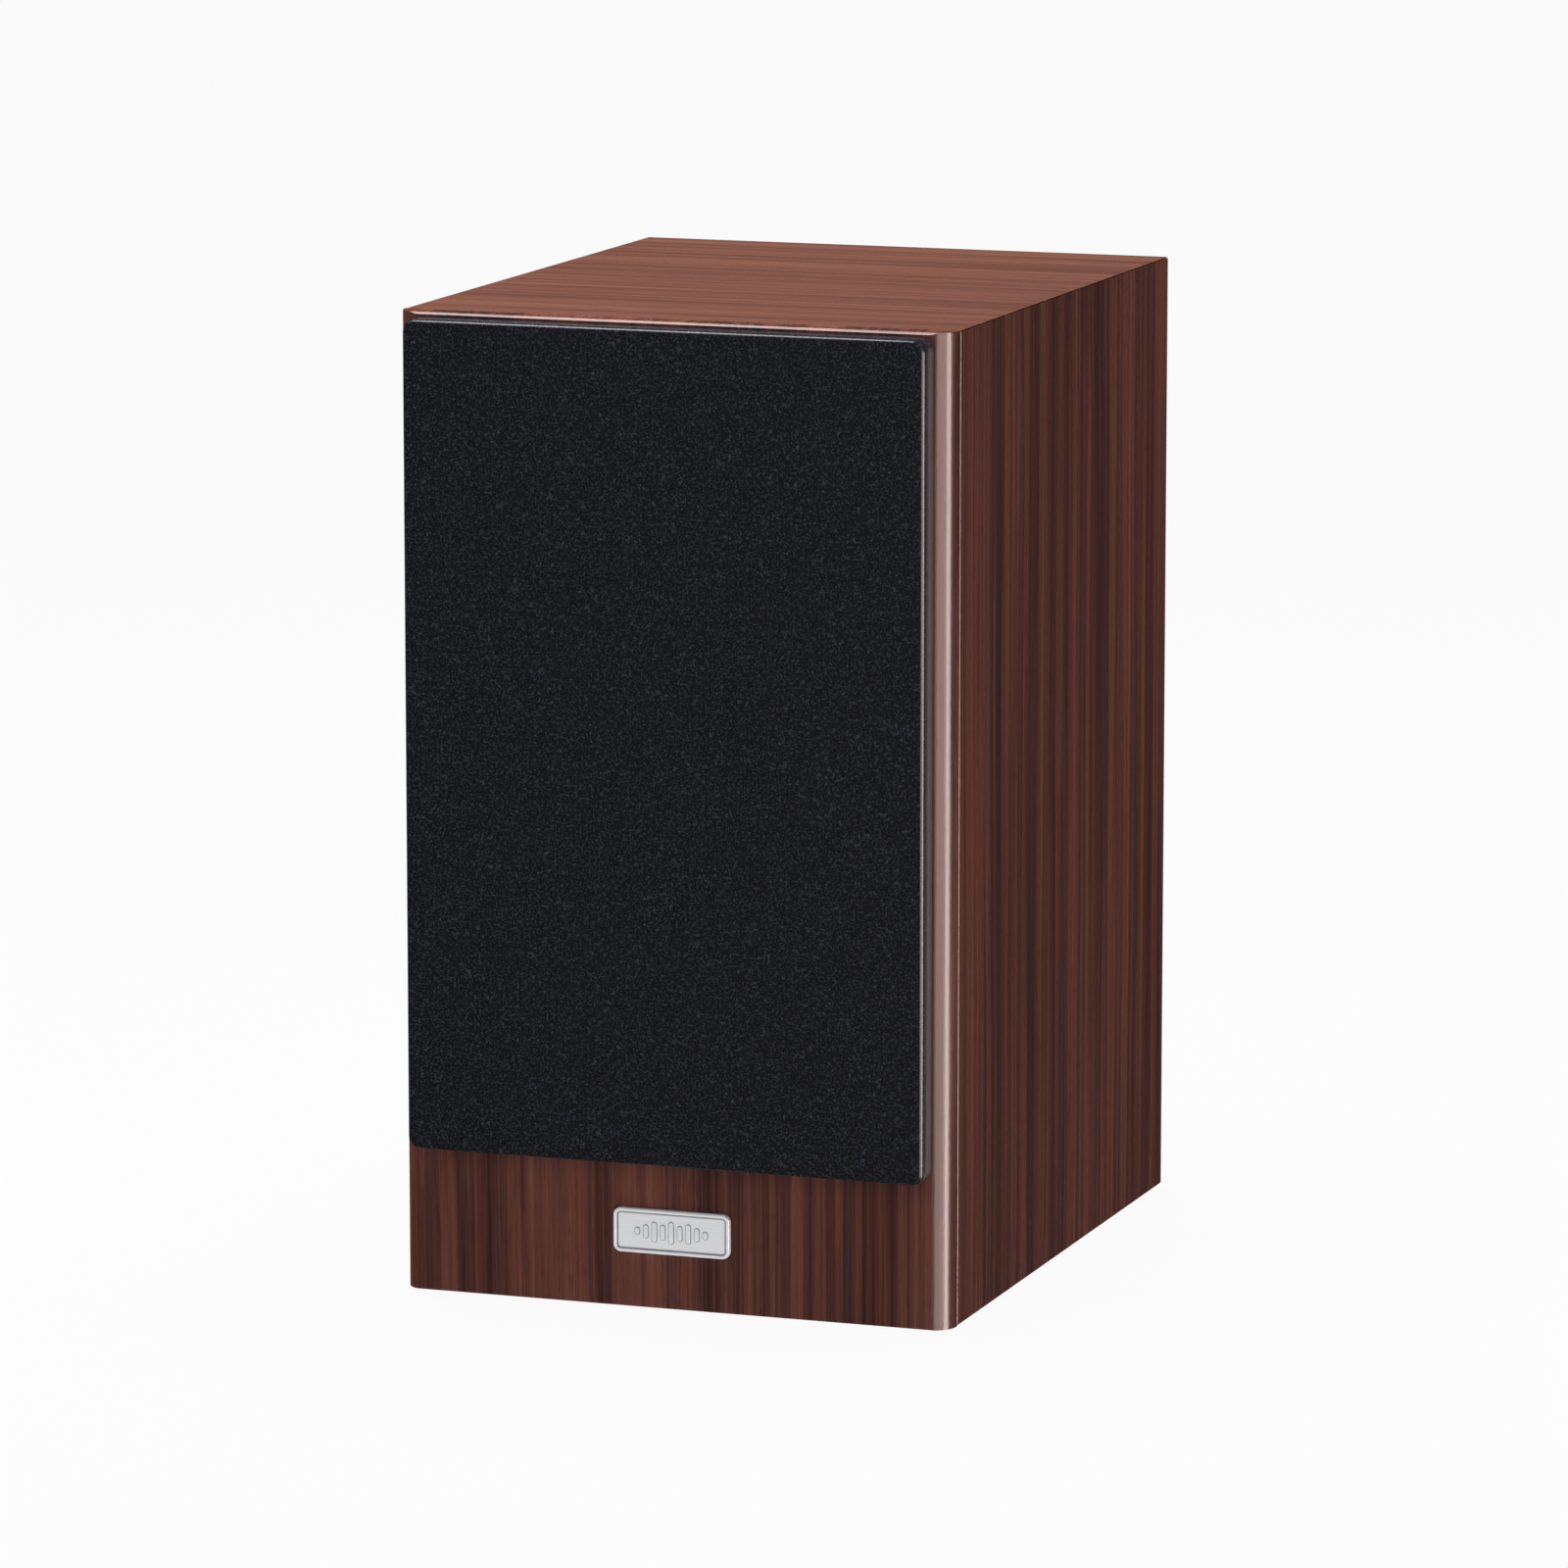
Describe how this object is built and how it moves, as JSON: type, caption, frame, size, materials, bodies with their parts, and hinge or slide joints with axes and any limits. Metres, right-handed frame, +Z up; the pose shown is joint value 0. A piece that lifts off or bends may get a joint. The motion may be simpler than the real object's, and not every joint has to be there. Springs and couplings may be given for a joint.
{
  "type": "bookshelf speaker",
  "caption": "Two-way bass-reflex bookshelf speaker in a dark wood-finish cabinet with a pull-off black cloth grille, rear port and screw terminals.",
  "frame": {"origin": "centre of the footprint, on the surface the feet stand on", "axes": "+Z up, the tallest way; +X across the width, the narrowest way; the front faces -Y"},
  "size_m": [0.193, 0.2498, 0.3315],
  "materials": {
    "walnut_foil": "dark walnut foil, satin, straight grain",
    "raw_board": "bare fibreboard",
    "grille_fabric": "black acoustic knit",
    "black_plastic": "moulded, fine satin",
    "rubber": "matt black",
    "satin_metal": "brushed and clear anodised",
    "black_steel": "black coated steel",
    "ferrite": "ground ferrite",
    "cone_paper": "coated pulp, matt",
    "coil_former": "varnished winding on a thin former",
    "copper": "enamelled copper",
    "silk": "doped cloth",
    "gold": "gold plated",
    "red_plastic": "moulded",
    "circuit_board": "green coated",
    "film_capacitor": "wrapped film",
    "wadding": "lofted polyester",
    "spider_cloth": "resin-dipped cloth",
    "lead_jacket": "soft wire jacket"
  },
  "bodies": {
    "cabinet": {"top_panel": "walnut_foil", "bottom_panel": "walnut_foil", "right_side_panel": "walnut_foil", "left_side_panel": "walnut_foil", "front_baffle": "walnut_foil", "rear_panel": "black_plastic", "cabinet_brace": "raw_board", "rubber_foot_front_left": "rubber", "rubber_foot_front_right": "rubber", "rubber_foot_back_left": "rubber", "rubber_foot_back_right": "rubber", "badge_plate": "satin_metal", "grille_socket_top_left": "rubber", "grille_socket_top_right": "rubber", "grille_socket_bottom_left": "rubber", "grille_socket_bottom_right": "rubber", "woofer_basket": "black_steel", "woofer_gasket": "rubber", "woofer_surround": "rubber", "woofer_spider": "spider_cloth", "woofer_top_plate": "black_steel", "woofer_magnet": "ferrite", "woofer_back_plate": "black_steel", "tweeter_faceplate": "black_plastic", "tweeter_top_plate": "black_steel", "tweeter_magnet": "ferrite", "tweeter_back_plate": "black_steel", "woofer_screw_1": "black_steel", "woofer_screw_2": "black_steel", "woofer_screw_3": "black_steel", "woofer_screw_4": "black_steel", "tweeter_screw_1": "black_steel", "tweeter_screw_2": "black_steel", "tweeter_screw_3": "black_steel", "port_tube": "black_plastic", "terminal_cup": "black_plastic", "terminal_screw_1": "black_steel", "terminal_screw_2": "black_steel", "terminal_screw_3": "black_steel", "terminal_screw_4": "black_steel", "terminal_post_black": "gold", "terminal_post_red": "gold", "crossover_board": "circuit_board", "crossover_coil_woofer": "copper", "crossover_coil_tweeter": "copper", "crossover_capacitor": "film_capacitor", "damping_wadding": "wadding", "woofer_lead": "lead_jacket", "tweeter_lead": "lead_jacket", "input_lead": "lead_jacket"},
    "grille": {"grille_frame": "black_plastic", "grille_cloth": "grille_fabric"},
    "woofer_cone": {"woofer_cone": "cone_paper", "woofer_dust_cap": "cone_paper", "woofer_voice_coil": "coil_former"},
    "tweeter_dome": {"tweeter_dome": "silk"},
    "clamp_washer_black": {"terminal_washer_black": "gold"},
    "clamp_washer_red": {"terminal_washer_red": "gold"},
    "knob_black": {"terminal_knob_black": "black_plastic"},
    "knob_red": {"terminal_knob_red": "red_plastic"}
  },
  "joints": [
    {"name": "grille_pull", "type": "slide", "parent": "cabinet", "child": "grille", "axis": [0, -1, 0], "range_m": [0, 0.15]},
    {"name": "woofer_stroke", "type": "slide", "parent": "cabinet", "child": "woofer_cone", "axis": [0, -1, 0], "range_m": [-0.005, 0.005], "stiffness_N_per_m": 1100, "deforming": ["woofer_surround", "woofer_spider"]},
    {"name": "tweeter_stroke", "type": "slide", "parent": "cabinet", "child": "tweeter_dome", "axis": [0, -1, 0], "range_m": [-0.0003, 0.0003], "stiffness_N_per_m": 1000},
    {"name": "clamp_travel_black", "type": "slide", "parent": "cabinet", "child": "clamp_washer_black", "axis": [0, 1, 0], "range_m": [0, 0.004]},
    {"name": "knob_turn_black", "type": "hinge", "parent": "clamp_washer_black", "child": "knob_black", "pos_m": [-0.014, 0.1089, 0.0935], "axis": [0, 1, 0], "range_deg": [0, 1440]},
    {"name": "clamp_travel_red", "type": "slide", "parent": "cabinet", "child": "clamp_washer_red", "axis": [0, 1, 0], "range_m": [0, 0.004]},
    {"name": "knob_turn_red", "type": "hinge", "parent": "clamp_washer_red", "child": "knob_red", "pos_m": [0.014, 0.1089, 0.0935], "axis": [0, 1, 0], "range_deg": [0, 1440]}
  ],
  "couplings": [
    {"joint": "knob_turn_black", "follows": "clamp_travel_black", "rad_per_m": 6283.2},
    {"joint": "knob_turn_red", "follows": "clamp_travel_red", "rad_per_m": 6283.2}
  ]
}
